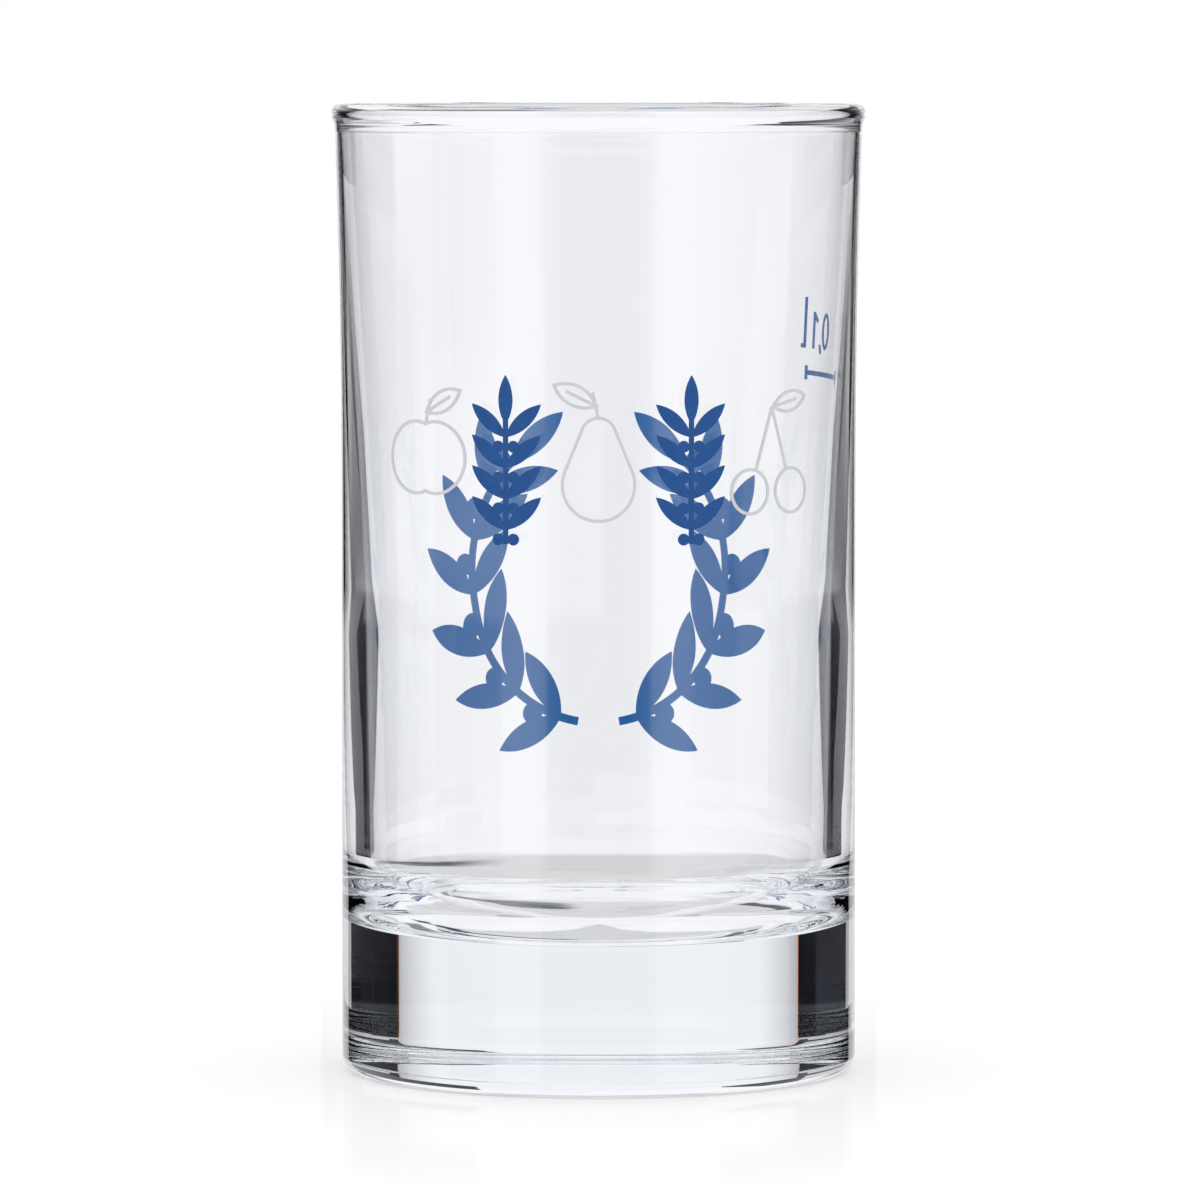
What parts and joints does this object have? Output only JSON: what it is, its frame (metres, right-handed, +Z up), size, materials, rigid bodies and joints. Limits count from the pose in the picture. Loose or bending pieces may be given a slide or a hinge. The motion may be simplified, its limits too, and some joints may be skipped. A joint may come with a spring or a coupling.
{
  "type": "juice glass",
  "caption": "Straight-sided clear tumbler with a thick solid base, rounded rim bead, blue and pale fruit prints and a fill line for small juice servings",
  "frame": {"origin": "on the axis of the glass, at the level of the surface it stands on", "axes": "+Z is up along the axis, -Y is the front with the fruit frieze, +X is to the right of someone facing the front"},
  "size_m": [0.055, 0.055, 0.1],
  "materials": {
    "clear_glass": "fire-polished soda-lime glass",
    "blue_enamel": "fired ceramic ink, satin gloss",
    "pale_enamel": "fired ceramic ink, satin gloss"
  },
  "bodies": {
    "root": {"glass_body": "clear_glass", "front_left_sprig": "blue_enamel", "front_right_sprig": "blue_enamel", "front_fruit_outlines": "pale_enamel", "back_left_branch": "blue_enamel", "back_right_branch": "blue_enamel", "fill_line": "blue_enamel", "fill_volume_numerals": "blue_enamel"}
  },
  "joints": []
}
